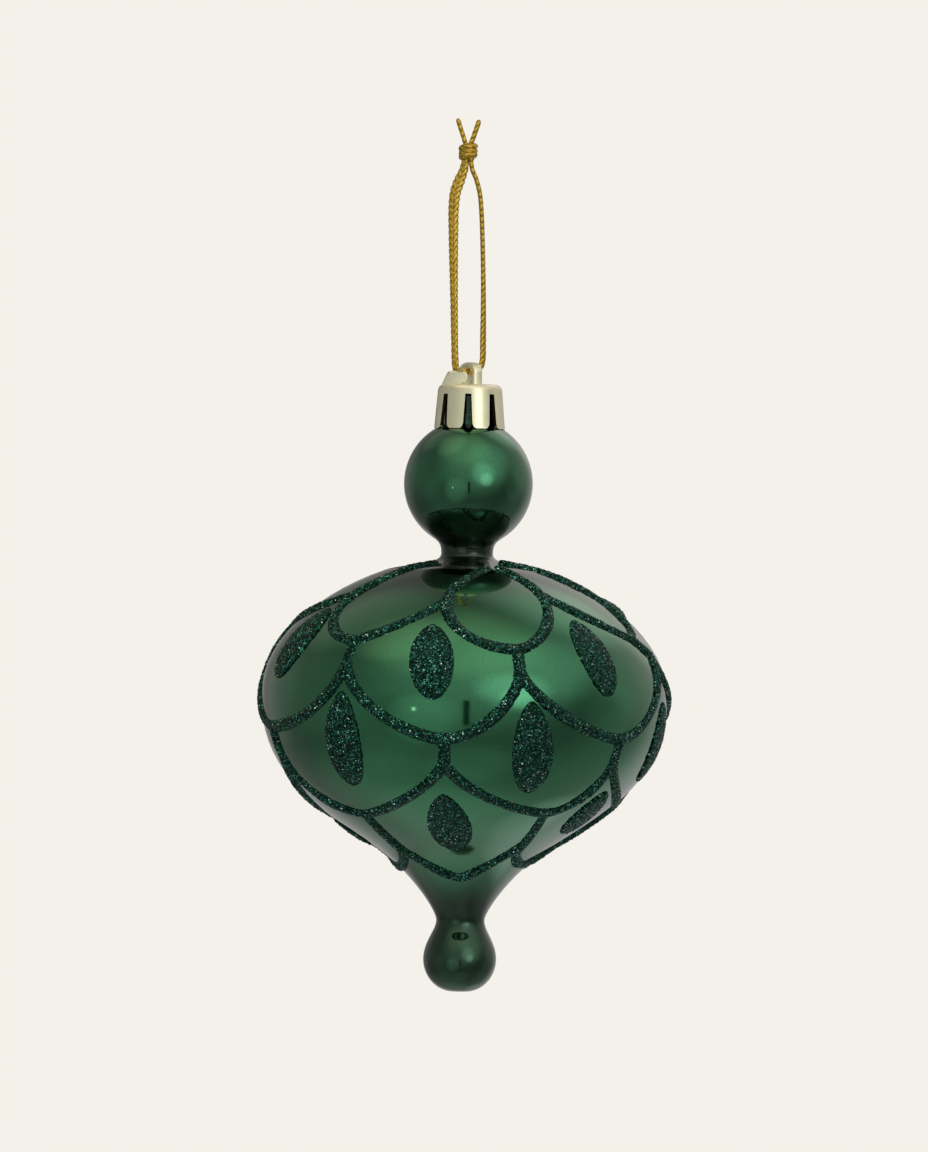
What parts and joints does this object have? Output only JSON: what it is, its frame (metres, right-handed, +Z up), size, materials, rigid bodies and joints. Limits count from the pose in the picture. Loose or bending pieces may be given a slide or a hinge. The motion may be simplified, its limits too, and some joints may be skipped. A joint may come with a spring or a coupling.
{
  "type": "drop ornament",
  "caption": "Hanging drop ornament: ball, wide body and finial in one shell, raised scallop and leaf decoration, slotted cap with a bail, and a knotted cord loop.",
  "frame": {"origin": "the point where the cord loop hangs, in its crotch just under the knot", "axes": "+Z up along the shell's axis, which lies 1.25 mm to +X and 0.3 mm to +Y of the origin; the front faces -Y"},
  "size_m": [0.082, 0.0816, 0.1724],
  "materials": {
    "shell_green": "pearly metallic green under a clear gloss coat, sprayed on a moulded shell",
    "glitter": "dark emerald glitter with teal and whitish sparks, strewn on raised lines of clear glue",
    "cap_champagne": "vacuum-metallised plastic, pale champagne gold, mirror smooth with soft moulding marks",
    "cord_gold": "flat braid of gold metallised film, soft and springy"
  },
  "bodies": {
    "loop": {"cord_loop": "cord_gold", "cord_knot": "cord_gold"},
    "cap": {"cap": "cap_champagne"},
    "shell": {"shell": "shell_green", "glitter_row_1": "glitter", "glitter_row_2": "glitter", "glitter_row_3": "glitter", "glitter_row_4": "glitter", "leaf_row_2_1": "glitter", "leaf_row_2_2": "glitter", "leaf_row_2_3": "glitter", "leaf_row_2_4": "glitter", "leaf_row_2_5": "glitter", "leaf_row_2_6": "glitter", "leaf_row_3_1": "glitter", "leaf_row_3_2": "glitter", "leaf_row_3_3": "glitter", "leaf_row_3_4": "glitter", "leaf_row_3_5": "glitter", "leaf_row_3_6": "glitter", "leaf_row_4_1": "glitter", "leaf_row_4_2": "glitter", "leaf_row_4_3": "glitter", "leaf_row_4_4": "glitter", "leaf_row_4_5": "glitter", "leaf_row_4_6": "glitter"}
  },
  "joints": [
    {"name": "bail_swing", "type": "hinge", "parent": "loop", "child": "cap", "pos_m": [0.00125, 0.0003, -0.0392], "axis": [0.8988, 0.4384, 0], "range_deg": [-45, 45]},
    {"name": "cap_pull", "type": "slide", "parent": "cap", "child": "shell", "axis": [0, 0, -1], "range_m": [0, 0.008]}
  ]
}
